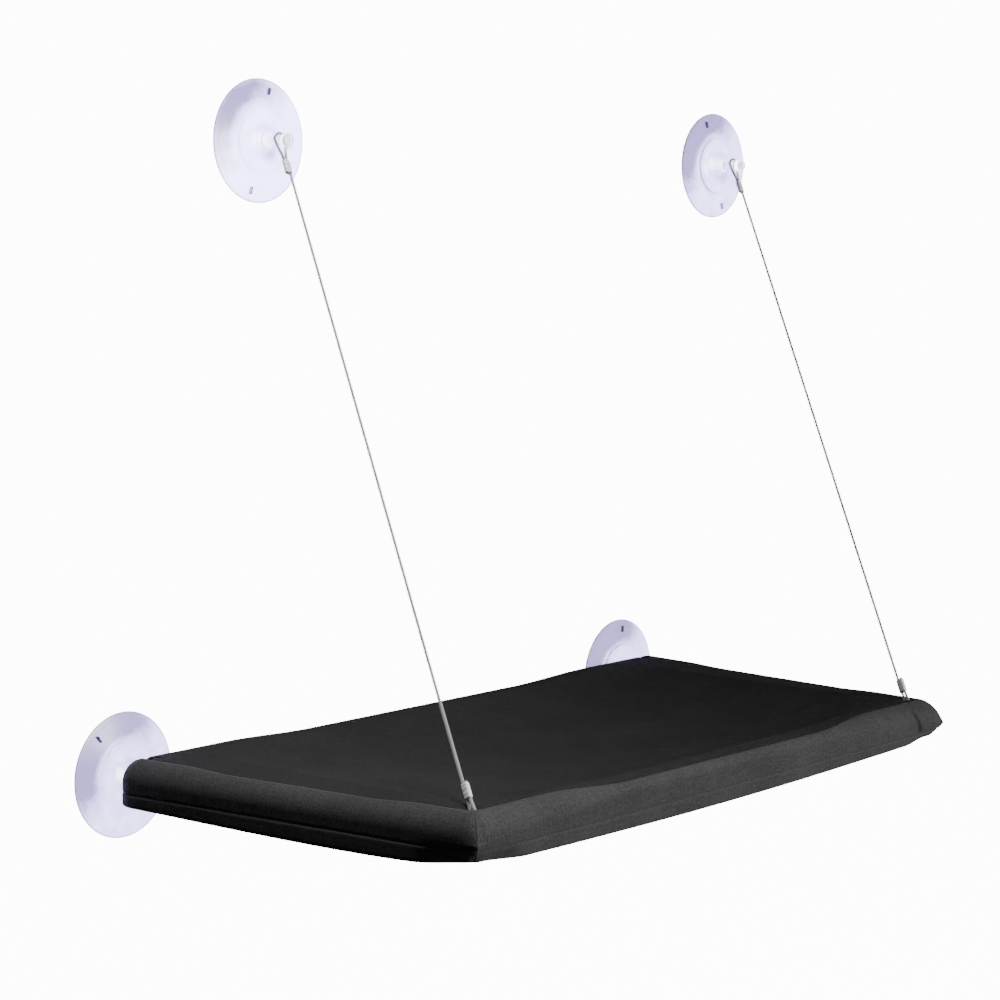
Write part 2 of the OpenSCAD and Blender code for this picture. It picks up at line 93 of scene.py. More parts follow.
# Shader wires: an expression on values adds its Math nodes
class Wire:
    def __init__(self, bench, socket):
        self.bench = bench
        self.socket = socket

    def math(self, operation, other=None, swap=False):
        sockets = {0: self}
        if other is not None:
            sockets = {0: other, 1: self} if swap else {0: self, 1: other}
        return self.bench.node("ShaderNodeMath", {"operation": operation}, sockets)

    def __add__(self, other):
        return self.math("ADD", other)

    __radd__ = __add__

    def __sub__(self, other):
        return self.math("SUBTRACT", other)

    def __rsub__(self, other):
        return self.math("SUBTRACT", other, swap=True)

    def __mul__(self, other):
        return self.math("MULTIPLY", other)

    __rmul__ = __mul__

    def __truediv__(self, other):
        return self.math("DIVIDE", other)

    def __pow__(self, other):
        return self.math("POWER", other)

    def sine(self):
        return self.math("SINE")

    def size(self):
        return self.math("ABSOLUTE")

    def clamp(self):
        return self.bench.node("ShaderNodeClamp", {}, {"Value": self})


# Bench: a node tree that nodes are added to, settings first, then the values or wires of the sockets
class Bench:
    def __init__(self, tree):
        self.tree = tree

    def node(self, kind, settings=None, sockets=None, out=0):
        made = self.tree.nodes.new(kind)
        for name, value in (settings or {}).items():
            if name == "stops":
                ramp = made.color_ramp.elements
                while len(ramp) < len(value):
                    ramp.new(0.5)
                for element, (place, tint) in zip(ramp, value):
                    element.position = place
                    element.color = tint
            else:
                setattr(made, name, value)
        for name, value in (sockets or {}).items():
            if isinstance(value, Wire):
                self.tree.links.new(value.socket, made.inputs[name])
            else:
                made.inputs[name].default_value = value
        return Wire(self, made.outputs[out])

    def split(self, vector):
        made = self.node("ShaderNodeSeparateXYZ", sockets={0: vector})
        outputs = made.socket.node.outputs
        return [Wire(self, outputs[axis]) for axis in ("X", "Y", "Z")]

    def scaled(self, vector, scale):
        return self.node("ShaderNodeMapping", {}, {"Vector": vector, "Scale": scale})

    def ramp(self, value, stops):
        return self.node("ShaderNodeValToRGB", {"stops": stops}, {"Fac": value}, out="Color")

    def band(self, value, low, high, fromLow=0.0, fromHigh=1.0):
        sockets = {"Value": value, "From Min": fromLow, "From Max": fromHigh, "To Min": low, "To Max": high}
        return self.node("ShaderNodeMapRange", {}, sockets, out="Result")

    # The Mix node's colours are its inputs 6 and 7 and its output 2
    def mixColour(self, share, first, second):
        made = self.node("ShaderNodeMix", {"data_type": "RGBA"}, {"Factor": share, 6: first, 7: second})
        return Wire(self, made.socket.node.outputs[2])

    def bump(self, height, distance, strength):
        sockets = {"Height": height, "Distance": distance, "Strength": strength}
        return self.node("ShaderNodeBump", {}, sockets, out="Normal")


# Finish: a material whose constants are set on the shader itself
class Finish(Bench):
    def __init__(self, name, constants):
        self.material = bpy.data.materials.new(name)
        self.material.use_nodes = True
        super().__init__(self.material.node_tree)
        self.shader = self.tree.nodes["Principled BSDF"]
        for socket, value in constants.items():
            self.shader.inputs[socket].default_value = value

    def place(self):
        return self.node("ShaderNodeTexCoord", out="Object")

    def written(self, name):
        return self.node("ShaderNodeAttribute", {"attribute_name": name}, out="Vector")

    def grain(self, scale, detail, where=None):
        sockets = {"Scale": scale, "Detail": detail, "Vector": where or self.place()}
        return self.node("ShaderNodeTexNoise", {}, sockets, out="Fac")

    def feed(self, **wires):
        names = {
            "colour": "Base Color",
            "roughness": "Roughness",
            "normal": "Normal",
            "alpha": "Alpha",
            "coat": "Coat Weight",
        }
        for name, wire in wires.items():
            self.tree.links.new(wire.socket, self.shader.inputs[names[name]])
        return self.material


def shade(r, g, b):
    return (r, g, b, 1.0)


# A grey with a little blue in it
def grey(value):
    return (value, value, value * 1.04, 1.0)


def mix(a, b, t):
    return a + (b - a) * t


def smooth(t):
    t = min(1, max(0, t))
    return t * t * (3 - 2 * t)


def makeMesh(name, points, faces, material, flat=False):
    mesh = bpy.data.meshes.new(name)
    mesh.from_pydata([tuple(p) for p in points], [], faces)
    mesh.update()
    if not flat:
        mesh.shade_smooth()
    mesh.materials.append(material)
    piece = bpy.data.objects.new(name, mesh)
    bpy.context.scene.collection.objects.link(piece)
    return piece


# Writes a vector for each point, which a finish reads by its name
def writePlaces(piece, name, places):
    layer = piece.data.attributes.new(name, "FLOAT_VECTOR", "POINT")
    layer.data.foreach_set("vector", [x for place in places for x in place])


# Walls between rings of equal count, and a face at each end unless the rings close on themselves
def ringFaces(rings, count, closed=False):
    faces = []
    for i in range(rings if closed else rings - 1):
        for k in range(count):
            a = i * count + k
            b = i * count + (k + 1) % count
            up = ((i + 1) % rings - i) * count
            faces.append((a, b, b + up, a + up))
    if not closed:
        faces.append(tuple(range(count - 1, -1, -1)))
        faces.append(tuple((rings - 1) * count + k for k in range(count)))
    return faces


# Cloth: a fine weave with uneven threads. clothPlace is the way along, the way down from the seam and a
# tint: above zero is lighter, below zero is painted shadow in a crease
weave = {
    "pitch": 0.0011,
    "threadScale": 700,
    "threadStretch": 0.12,
    "speckScale": 1000,
    "speckStretch": 0.6,
    "patchScale": 16,
    "tones": {"cross": 0.25, "double": 0.1, "upright": 0.4, "level": 0.3, "speck": 0.9, "patches": 0.35},
    "heights": {"cross": 0.7, "double": 0.3, "upright": 0.5},
    "darkStop": 0.36,
    "lightStop": 0.64,
    "brightTimes": 2.2,     # tone of the lighter top edge and of stitches, in light tones
    "lighterEdgeShare": 0.5,
    "creaseShadow": 0.0015,
    "stitchDown": 0.0011,   # the stitches' distance below the seam
    "stitchHalf": 0.0004,
    "stitchShare": 0.25,
    "stitchHigh": 1.2,
    "rough": (0.78, 0.95),
    "bump": 0.00022,
    "bumpStrength": 0.8,
    "sheenRough": 0.45,
    "gloss": 0.22,
}
# One fabric toned twice: the deck's cloth is painted darker and the sides' lighter, standing in for how the
# light falls on each
deckShadedLook = {"dark": 0.005, "light": 0.026, "sheen": 0.02, "stitchPitch": 0}
sideLitLook = {"dark": 0.012, "light": 0.068, "sheen": 0.06, "stitchPitch": 0.003}


# Sum of the layers, each times its share
def weighted(layers, shares):
    parts = [layers[name] * share for name, share in shares.items()]
    return sum(parts[1:], parts[0])


def clothFinish(name, look):
    w = weave
    finish = Finish(name, {
        "Sheen Weight": look["sheen"],
        "Sheen Roughness": w["sheenRough"],
        "Specular IOR Level": w["gloss"],
    })
    cloth = finish.written("clothPlace")
    along, down, lighterEdgeAndCreaseShadow = finish.split(cloth)
    turn = 2 * math.pi / w["pitch"]
    stretch = w["threadStretch"]
    layers = {
        "cross": (along * turn).sine() * (down * turn).sine() * 0.5 + 0.5,
        "double": ((along * turn * 2).sine() + (down * turn * 2).sine()) * 0.25 + 0.5,
        "upright": finish.grain(w["threadScale"], 3, finish.scaled(cloth, (1, stretch, 1))),
        "level": finish.grain(w["threadScale"], 3, finish.scaled(cloth, (stretch, 1, 1))),
        "speck": finish.grain(w["speckScale"], 3, finish.scaled(cloth, (1, w["speckStretch"], 1))),
        "patches": finish.grain(w["patchScale"], 3),
    }
    tone = weighted(layers, w["tones"]) / sum(w["tones"].values())
    bright = grey(look["light"] * w["brightTimes"])
    stops = [(w["darkStop"], grey(look["dark"])), (w["lightStop"], grey(look["light"]))]
    colour = finish.ramp(tone, stops)
    colour = finish.mixColour((lighterEdgeAndCreaseShadow * w["lighterEdgeShare"]).clamp(), colour, bright)
    # Painted shadow in a crease: where the tint is below zero the colour goes to near black
    colour = finish.mixColour((lighterEdgeAndCreaseShadow * -1).clamp(), colour, grey(w["creaseShadow"]))
    height = weighted(layers, w["heights"])
    if look["stitchPitch"]:
        dash = ((along * (2 * math.pi / look["stitchPitch"])).sine() * 3 + 1.2).clamp()
        stitch = (1 - (down - w["stitchDown"]).size() / w["stitchHalf"]).clamp() * dash
        colour = finish.mixColour(stitch * w["stitchShare"], colour, bright)
        height = height + stitch * w["stitchHigh"]
    return finish.feed(
        colour=colour,
        roughness=finish.band(layers["upright"], *w["rough"]),
        normal=finish.bump(height, w["bump"], w["bumpStrength"]),
    )


# Clear soft vinyl. cupPlace is the way across and up in outer radii, and how cloudy the whole cup is. The
# neck and head are written as one far place past the rim, and stay clear. Tints by place: painted shade on
# the flange, darkest to the upper left, a painted shadow below the boss, a collar round the boss, a painted
# highlight beside it and a thin dark rim
vinyl = {
    "constants": {
        "Transmission Weight": 0.88,
        "IOR": 1.38,
        "Coat Weight": 0.35,
        "Coat Roughness": 0.25,
        "Specular IOR Level": 0.4,
    },
    "hazeScale": 100,
    "fineScale": 900,
    "clear": shade(0.50, 0.475, 0.86),
    "cloudy": shade(0.090, 0.078, 0.165),
    "flangeFrom": (0.46, 0.7),
    "flangeTo": (0.9, 1.0),
    "flangeEnd": 0.7,       # share of the flange's painted shade left at the rim
    "flangeShadeShare": 1.1,
    "hazeShare": 0.5,
    "fineShare": 0.5,
    "paintedShadeUp": 0.8,          # painted shade: the flange darkens towards the upper left
    "paintedShadeLeft": 0.75,
    "paintedShadeBase": 0.1,
    "shadowAt": (0.12, -0.21),
    "shadowReach": 0.17,
    "shadowEdge": 1.15,
    "shadowShare": 0.8,
    "shadowTint": shade(0.10, 0.11, 0.34),
    "collarAt": 0.22,
    "collarHalf": 0.10,
    "collarShare": 0.45,
    "collarTint": shade(0.15, 0.145, 0.30),
    "highlightAt": (-0.16, 0.04),
    "highlightNarrow": 1.6,
    "highlightReach": 0.12,
    "highlightEdge": 1.2,
    "rimFrom": (0.965, 0.985),
    "rimShare": 0.6,
    "rimTint": shade(0.08, 0.08, 0.16),
    "clearFrom": (1.2, 1.4),
    "clearPlace": (0, 2, 0),
    "rough": (0.14, 0.28),
    "bump": 0.0003,
    "bumpStrength": 0.35,
}


def vinylFinish():
    v = vinyl
    finish = Finish("clearVinyl", v["constants"])
    x, z, whole = finish.split(finish.written("cupPlace"))
    reach = (x * x + z * z) ** 0.5
    haze = finish.grain(v["hazeScale"], 4)
    fine = finish.grain(v["fineScale"], 2)
    white = shade(1, 1, 1)

    def span(across, up):
        return (across ** 2 + up ** 2) ** 0.5

    flangeStart = finish.band(reach, 0, 1, *v["flangeFrom"])
    flangeStop = finish.band(reach, 1, v["flangeEnd"], *v["flangeTo"])
    upperLeftShade = (z * v["paintedShadeUp"] - x * v["paintedShadeLeft"] + v["paintedShadeBase"]).clamp()
    # Painted shade on the flange, darkest to the upper left, added to the whole cup's cloudiness and random
    # haze
    cloud = (flangeStart * flangeStop).clamp() * upperLeftShade * v["flangeShadeShare"] + whole
    cloud = cloud + (haze - 0.5) * v["hazeShare"] + (fine - 0.5) * v["fineShare"]
    colour = finish.mixColour(cloud.clamp(), v["clear"], v["cloudy"])
    # Painted shadow: a bluish patch below the boss
    shadowX, shadowZ = v["shadowAt"]
    hollow = (v["shadowEdge"] - span(x - shadowX, z - shadowZ) / v["shadowReach"]).clamp()
    colour = finish.mixColour(hollow * v["shadowShare"], colour, v["shadowTint"])
    collar = (1 - (reach - v["collarAt"]).size() / v["collarHalf"]).clamp()
    colour = finish.mixColour(collar * v["collarShare"], colour, v["collarTint"])
    # Painted highlight: a white oval beside the boss
    highlightX, highlightZ = v["highlightAt"]
    highlightSpan = span((x - highlightX) * v["highlightNarrow"], z - highlightZ)
    paintedHighlight = (v["highlightEdge"] - highlightSpan / v["highlightReach"]).clamp()
    colour = finish.mixColour(paintedHighlight, colour, white)
    rim = finish.band(reach, 0, v["rimShare"], *v["rimFrom"]).clamp()
    colour = finish.mixColour(rim, colour, v["rimTint"])
    clear = finish.band(reach, 0, 1, *v["clearFrom"]).clamp()
    colour = finish.mixColour(clear, colour, white)
    return finish.feed(
        colour=colour,
        roughness=finish.band(haze * 0.6 + fine * 0.4, *v["rough"]),
        normal=finish.bump(haze * 0.8 + fine * 0.2, v["bump"], v["bumpStrength"]),
    )


plastic = {
    "cloudScale": 60,
    "fineScale": 1500,
    "gloss": 0.45,
    "bump": 0.00008,
    "bumpStrength": 0.4,
}


def plasticFinish(name, dark, light, rough):
    p = plastic
    finish = Finish(name, {"Specular IOR Level": p["gloss"]})
    cloud = finish.grain(p["cloudScale"], 3)
    fine = finish.grain(p["fineScale"], 2)
    return finish.feed(
        colour=finish.ramp(cloud * 0.7 + fine * 0.3, [(0.3, dark), (0.7, light)]),
        roughness=finish.band(cloud, rough - 0.06, rough + 0.08),
        normal=finish.bump(fine, p["bump"], p["bumpStrength"]),
    )


metal = {
    "scratchScale": 1800,
    "scratchStretch": 0.15,
    "cloudScale": 160,
    "bump": 0.00004,
    "bumpStrength": 0.5,
}


def metalFinish(name, dark, light, rough, metallic):
    m = metal
    finish = Finish(name, {"Metallic": metallic})
    where = finish.scaled(finish.place(), (1, 1, m["scratchStretch"]))
    scratch = finish.grain(m["scratchScale"], 3, where)
    cloud = finish.grain(m["cloudScale"], 2)
    return finish.feed(
        colour=finish.ramp(cloud * 0.5 + scratch * 0.5, [(0.3, dark), (0.7, light)]),
        roughness=finish.band(scratch, rough - 0.08, rough + 0.12),
        normal=finish.bump(scratch, m["bump"], m["bumpStrength"]),
    )


# Twisted wires: crowns and grooves that run round the core as they go along it; besides the bump, the colour
# is painted lighter on the crowns and darker in the grooves as shade. cordPlace is the way along the cable
# and the way round it
wires = {
    "count": 7,
    "pitch": 0.006,
    "metallic": 0.3,
    "dark": 0.02,
    "light": 0.09,
    "cloudScale": 90,
    "rough": (0.28, 0.46),
    "bump": 0.00006,
    "bumpStrength": 0.9,
}


def wireFinish():
    w = wires
    finish = Finish("twistedWires", {"Metallic": w["metallic"]})
    along, around = finish.split(finish.written("cordPlace"))[:2]
    turns = around * (2 * math.pi * w["count"]) + along * (2 * math.pi / w["pitch"])
    twist = turns.sine() * 0.5 + 0.5
    cloud = finish.grain(w["cloudScale"], 2)
    return finish.feed(
        colour=finish.ramp(twist * 0.75 + cloud * 0.25, [(0.15, grey(w["dark"])), (0.8, grey(w["light"]))]),
        roughness=finish.band(cloud, *w["rough"]),
        normal=finish.bump(twist, w["bump"], w["bumpStrength"]),
    )


sheath = {
    "dark": 0.88,
    "light": 0.97,
    "cloudScale": 70,
    "cloudStretch": 0.02,
    "rough": (0.22, 0.34),
    "alpha": (0.30, 0.40),
    "coat": (0.5, 0.8),
    "constants": {"Specular IOR Level": 0.6, "Coat Roughness": 0.12},
}


def sheathFinish():
    s = sheath
    finish = Finish("clearSheath", s["constants"])
    where = finish.scaled(finish.written("cordPlace"), (1, s["cloudStretch"], 1))
    cloud = finish.grain(s["cloudScale"], 2, where)
    return finish.feed(
        colour=finish.ramp(cloud, [(0.3, grey(s["dark"])), (0.7, grey(s["light"]))]),
        roughness=finish.band(cloud, *s["rough"]),
        alpha=finish.band(cloud, *s["alpha"]),
        coat=finish.band(cloud, *s["coat"]),
    )


# The first seven are named as the record's slots are
finishes = {
    "vinyl": vinylFinish(),
    "pipe": plasticFinish("whitePipe", shade(0.74, 0.74, 0.72), shade(0.84, 0.84, 0.82), 0.38),
    "fitting": plasticFinish("whiteFitting", shade(0.70, 0.70, 0.68), shade(0.80, 0.80, 0.78), 0.46),
    "cap": plasticFinish("blackCap", grey(0.012), grey(0.03), 0.62),
    "pin": metalFinish("plainSteel", grey(0.50), grey(0.66), 0.34, 1.0),
    "sleeve": metalFinish("crimpedSleeve", grey(0.93), grey(0.99), 0.3, 0.1),
    "elastic": plasticFinish("hemElastic", shade(0.66, 0.66, 0.64), shade(0.80, 0.80, 0.78), 0.85),
    "wires": wireFinish(),
    "sheath": sheathFinish(),
    "deckCloth": clothFinish("deckCloth", deckShadedLook),
    "sideCloth": clothFinish("sideCloth", sideLitLook),
}
print("finishes made")


# Carried-over nodes get their finish by the record's slot
slotOfNode = {row["node"]: row["material_slot"] for row in frame["record"]["subparts"]}
for nodeName, node in frame["nodes"].items():
    slotName = slotOfNode[nodeName]
    if slotName in finishes:
        node.data.materials.clear()
        node.data.materials.append(finishes[slotName])


# Suction cups: one moulding each, turned round its axis, with two small moulded marks on the flange
cup = {
    "outer": 0.0425,
    "rim": 0.001,
    "flange": 0.0036,
    "flangeCurve": 1.1,
    "dome": 0.023,
    "domeFoot": 0.0003,
    "domeEdge": 0.0052,
    "domeTop": 0.0102,
    "edgeIn": 0.0004,
    "edgeRound": 0.0006,
    "boss": 0.007,
    "bossTop": 0.0116,
    "bossRise": 0.0002,
    "bossFillet": 0.0003,
    "round": 0.001,
    "neck": 0.00375,
    "neckRoot": 0.0012,
    "head": 0.005,
    "headSeat": 0.0256,
    "seatRise": 0.0004,
    "seatStep": 0.0002,
    "headBevel": 0.0003,
    "top": 0.031,
    "nose": 0.0025,
    "noseStop": 84,         # degrees: the nose ends in a small flat
    "hollow": 0.0022,
    "seal": 0.004,
    "markPlace": 0.82,
    "markLong": 0.005,
    "markWide": 0.0014,
    "markTop": 0.003,
    "markCloud": 0.5,
    "lowerX": 0.265,
    "upperLeftX": -0.134,
    "upperRightX": 0.388,
    "segments": 120,
    "steps": 12,
    "flangeSteps": 8,
}

# Cables: taut from the upper cups' necks to the pins in the front corners
cable = {
    "length": 0.510,
    "sheathR": 0.0012,
    "sheathSides": 14,
    "coreR": 0.00072,
    "coreSides": 12,
    "pinX": 0.239,
    "shiftLeft": -0.0035,   # the loops sit a little off the middle of their slots, as the photo shows
    "shiftRight": 0.001,
    "shiftOut": 0.0035,     # the loop hangs right behind the head
    "pinY": -0.294,
    "pinZ": 0.005,
    "neckY": -0.01748,
    "strandOff": 0.00125,
    "neckLoop": 0.017,
    "pinLoop": 0.0185,
    "neckLoopR": 0.0049,
    "pinLoopR": 0.00315,
    "tail": 0.001,
    "bendStart": 0.12,
    "strandSteps": 16,
    "arcSteps": 12,
    "straightSteps": 70,
}


def cableEnds(pinX, neckX, shift):
    c = cable
    across = neckX - pinX
    out = c["neckY"] - c["pinY"]
    rise = math.sqrt(c["length"] ** 2 - across ** 2 - out ** 2)
    pin = Vector((pinX + shift, c["pinY"], c["pinZ"]))
    return Vector((neckX, c["neckY"] - c["shiftOut"], c["pinZ"] + rise)), pin


cableRuns = {
    "Left": cableEnds(-cable["pinX"], cup["upperLeftX"], cable["shiftLeft"]),
    "Right": cableEnds(cable["pinX"], cup["upperRightX"], cable["shiftRight"]),
}


def arcPoints(r, h, radius, first, last, steps):
    turn = [math.radians(mix(first, last, i / steps)) for i in range(steps + 1)]
    return [(r + radius * math.cos(a), h + radius * math.sin(a)) for a in turn]


# Outline from the hollow, round the rim, over the dome and up to the head, as radius and height
def cupOutline():
    c = cup
    steps = c["steps"]
    hollowR = c["outer"] - c["seal"] - c["rim"] / 2
    path = []
    for i in range(1, steps + 1):
        t = i / steps
        path.append((hollowR * t, c["hollow"] * (1 - t * t)))
    lip = c["rim"] / 2
    path += arcPoints(c["outer"] - lip, lip, lip, -90, 90, 6)
    for i in range(1, c["flangeSteps"] + 1):
        t = i / c["flangeSteps"]
        r = mix(c["outer"] - lip, c["dome"] + c["round"] / 2, t)
        path.append((r, mix(c["rim"], c["flange"], t ** c["flangeCurve"])))
    edgeR = c["dome"] - (c["domeEdge"] - c["flange"]) / 2 - c["edgeIn"]
    path.append((c["dome"], c["flange"] + c["domeFoot"]))
    path += arcPoints(edgeR, c["domeEdge"] - c["edgeIn"], c["edgeRound"], 20, 75, 4)
    rise = c["domeTop"] - c["domeEdge"]
    ball = (c["dome"] ** 2 + rise ** 2) / (2 * rise)
    for i in range(1, steps + 1):
        r = mix(edgeR, c["boss"] + c["bossFillet"], i / steps)
        path.append((r, c["domeTop"] - ball + math.sqrt(ball ** 2 - r ** 2)))
    path.append((c["boss"], c["domeTop"] + c["bossRise"]))
    path += arcPoints(c["boss"] - c["round"], c["bossTop"] - c["round"], c["round"], 0, 90, 5)
    path += arcPoints(c["neck"] + c["neckRoot"], c["bossTop"] + c["neckRoot"], c["neckRoot"], -90, -180, 5)
    path.append((c["neck"], c["headSeat"] - c["seatRise"]))
    path.append((c["neck"] + c["seatStep"], c["headSeat"]))
    path.append((c["head"] - c["headBevel"], c["headSeat"]))
    path += arcPoints(c["head"] - c["nose"], c["top"] - c["nose"], c["nose"], 0, c["noseStop"], 7)
    return path


def buildCup(name, x, z, markTurn, cloud, node):
    c = cup
    outline = cupOutline()
    count = c["segments"]
    points, places = [], []

    def addPoint(across, up, h, cloudy):
        points.append((x + across, -h, z + up))
        if h > c["bossTop"]:
            places.append(vinyl["clearPlace"])
        else:
            places.append((across / c["outer"], up / c["outer"], cloudy))

    for r, h in outline:
        for k in range(count):
            a = 2 * math.pi * k / count
            addPoint(r * math.cos(a), r * math.sin(a), h, cloud)
    faces = ringFaces(len(outline), count)
    # Marks: low boxes on the flange, at opposite places
    for turn in (math.radians(markTurn), math.radians(markTurn + 180)):
        first = len(points)
        for h in (c["rim"] / 2, c["markTop"]):
            for i, j in ((-1, -1), (1, -1), (1, 1), (-1, 1)):
                r = c["markPlace"] * c["outer"] + i * c["markLong"] / 2
                s = j * c["markWide"] / 2
                across = math.cos(turn) * r - math.sin(turn) * s
                addPoint(across, math.sin(turn) * r + math.cos(turn) * s, h, c["markCloud"])
        faces += [tuple(first + k for k in face) for face in ringFaces(2, 4)]
    piece = makeMesh(name, points, faces, finishes["vinyl"])
    writePlaces(piece, "cupPlace", places)
    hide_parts(node)
    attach(piece, "glass_fixings")


# The last two numbers are the turn of the marks in degrees and how cloudy the cup is
buildCup("cupUpperLeft", cup["upperLeftX"], cableRuns["Left"][0].z, 75, 0.03, "suction_cup_upper_left")
buildCup("cupUpperRight", cup["upperRightX"], cableRuns["Right"][0].z, 108, 0.38, "suction_cup_upper_right")
buildCup("cupLowerLeft", -cup["lowerX"], 0, 129, 0.48, "suction_cup_lower_left")
buildCup("cupLowerRight", cup["lowerX"], 0, 84, 0.5, "suction_cup_lower_right")
print("cups built")


# Cover: the same lines as the source's, in metres
cover = {
    "endX": 0.2465,
    "frontY": -0.294,
    "rearY": -0.028,
    "neckX": 0.265,
    "neckGap": 0.0094,
    "sideR": 0.01465,       # from the core lines to the middle of the cloth
    "cornerRing": 0.0008,
    "frontRound": 0.006,
    "edgeRound": 0.0125,
    "sagFrom": 0.13,        # shares of a run where its edge starts to sag, and over which it gets there
    "sagOver": 0.16,
    "rearSag": 0.003,
    "endSag": 0.0014,
    "frontSag": 0.003,
    "sideDrop": 0.0127,
    "dropLeft": 0.0152,     # the hem hangs lower at the left
    "dropRight": 0.0115,
    "sideSag": 0.0035,
    "endSagPower": 0.63,    # moves an end hem's lowest place towards the front
    "elasticT": 0.0007,
    "elasticW": 0.0026,
    "deckSeam": 0.0005,
    "hemR": 0.0014,
    "clothT": 0.0012,
    "fittingGap": 0.0003,
    "pointZ": -0.0025,
    "pointPower": 1.6,
    "pointTuck": 0.0075,
    "tuckReach": 0.035,
    "wrinkles": 0.0013,
    "wrinkleFade": 8,       # points down from the deck's edge
    "wrinkleShift": 0.3,    # sets the sides apart in the noise
    "hemWrinkles": 0.2,
    "topEdgeLighter": 0.3,
    "flatLong": (0.52, 0.060),
    "flatEnd": (0.31, 0.060),
    "flatDeck": (0.535, 0.29),
}
cover["rearX"] = cover["neckX"] + cover["neckGap"] / 2
cover["topZ"] = cover["sideR"]
cover["slant"] = math.atan2(cover["rearX"] - cover["endX"], cover["rearY"] - cover["frontY"])
cover["pointOut"] = cover["sideR"] * (math.sqrt(2) - 1)

# Sewn seam on the sides: its height, and the small step that the stitches pull into the cloth
seam = {
    "down": 0.0065,
    "above": 0.0009,
    "half": 0.0003,
    "below": 0.0010,
    "in": 0.0005,
    "out": 0.0002,
}

# Crease in the front cloth beside the right corner: it leans, and widens downward. The cloth is pushed in
# along it and painted dark with shadow
crease = {
    "in": 0.022,
    "fromZ": 0.009,
    "lean": 0.45,
    "narrow": 0.0012,
    "wide": 0.0030,
    "widenFrom": 0.008,
    "widenOver": 0.016,
    "topZ": 0.0115,
    "topFade": 0.004,
    "lowFade": 5,           # points above the seam
    "roomShare": 0.8,       # of the room that the fittings leave
}

# Small folds: noise of three sizes
foldSizes = [
    {"across": 14, "up": 22, "shift": (0, 0), "share": 0.55},
    {"across": 42, "up": 18, "shift": (7, 0), "share": 0.32},
    {"across": 120, "up": 60, "shift": (0, 3), "share": 0.13},
]

# Steps down a side's cloth, and the numbers of the seam's middle point and the hem's first, from 0
sideSteps = {"round": 12, "wall": 10, "band": 6, "hem": 6}
seamIndex = sideSteps["round"] + sideSteps["wall"] + 2
hemIndex = seamIndex + sideSteps["band"] + 2


def edgeShare(t):
    return smooth((min(t, 1 - t) - cover["sagFrom"]) / cover["sagOver"])


def tuckShare(distance):
    return 1 - smooth(distance / cover["tuckReach"])


def pointShare(t):
    return (1 / math.cos(math.radians(90) * min(t, 1 - t)) - 1) / (math.sqrt(2) - 1)


# Room between the side cloth and the fittings at a height
def frameRoom(z):
    c = cover
    fitting = c["sideR"] - c["clothT"] / 2 - c["fittingGap"]
    return fitting - math.sqrt(max(0, fitting ** 2 - z ** 2))


# How far a station's cloth stands out at a height: out to the point, and tucked in under it
def cornerShift(s, z):
    c = cover
    if z > c["pointZ"]:
        high = max(0, (c["topZ"] - z) / (c["topZ"] - c["pointZ"]))
        return s["point"] * c["pointOut"] * high ** c["pointPower"]
    low = (c["pointZ"] - z) / (c["pointZ"] + c["sideDrop"])
    return s["point"] * c["pointOut"] * (1 - low) - s["tuck"] * min(c["pointTuck"] * low, frameRoom(z))


# Stations along a straight side. A station is a place on the core line, an outward angle, the top's rounding
# and height, the hem's height, the shares of the corner's point and tuck, and the way gone along the cloth
def sideRun(start, end, angle, rounding, topSag, steps, drops, sagPower=1.0, tucks=(0, 0)):
    c = cover
    length = (Vector(end) - Vector(start)).length
    stations = []
    for i in range(steps + 1):
        t = i / steps
        e = edgeShare(t)
        stations.append({
            "x": mix(start[0], end[0], t),
            "y": mix(start[1], end[1], t),
            "angle": angle,
            "round": mix(c["sideR"] - c["cornerRing"], rounding, e),
            "top": c["topZ"] - topSag * e,
            "hem": -mix(drops[0], drops[1], t) - c["sideSag"] * math.sin(math.pi * t ** sagPower),
            "point": 0.0,
            "tuck": tucks[0] * tuckShare(t * length) + tucks[1] * tuckShare((1 - t) * length),
            "gone": length * t,
        })
    return stations


# Stations round a corner, from one share of its turn to another
def cornerTurn(at, first, last, shares, steps, pointed, drop):
    c = cover
    stations = []
    for i in range(steps + 1):
        t = mix(shares[0], shares[1], i / steps)
        stations.append({
            "x": at[0],
            "y": at[1],
            "angle": mix(first, last, t),
            "round": c["sideR"] - c["cornerRing"],
            "top": c["topZ"],
            "hem": -drop,
            "point": pointed * pointShare(t),
            "tuck": pointed,
            "gone": abs(last - first) * c["sideR"] * (t - shares[0]),
        })
    return stations


def joinRuns(*runs):
    joined = []
    gone = 0.0
    for run in runs:
        fresh = run if not joined else run[1:]
        for s in fresh:
            joined.append(dict(s, gone=gone + s["gone"]))
        gone += run[-1]["gone"]
    return joined


def mirrorStations(stations):
    turned = []
    for s in reversed(stations):
        turned.append(dict(s, x=-s["x"], angle=math.pi - s["angle"], gone=stations[-1]["gone"] - s["gone"]))
    return turned


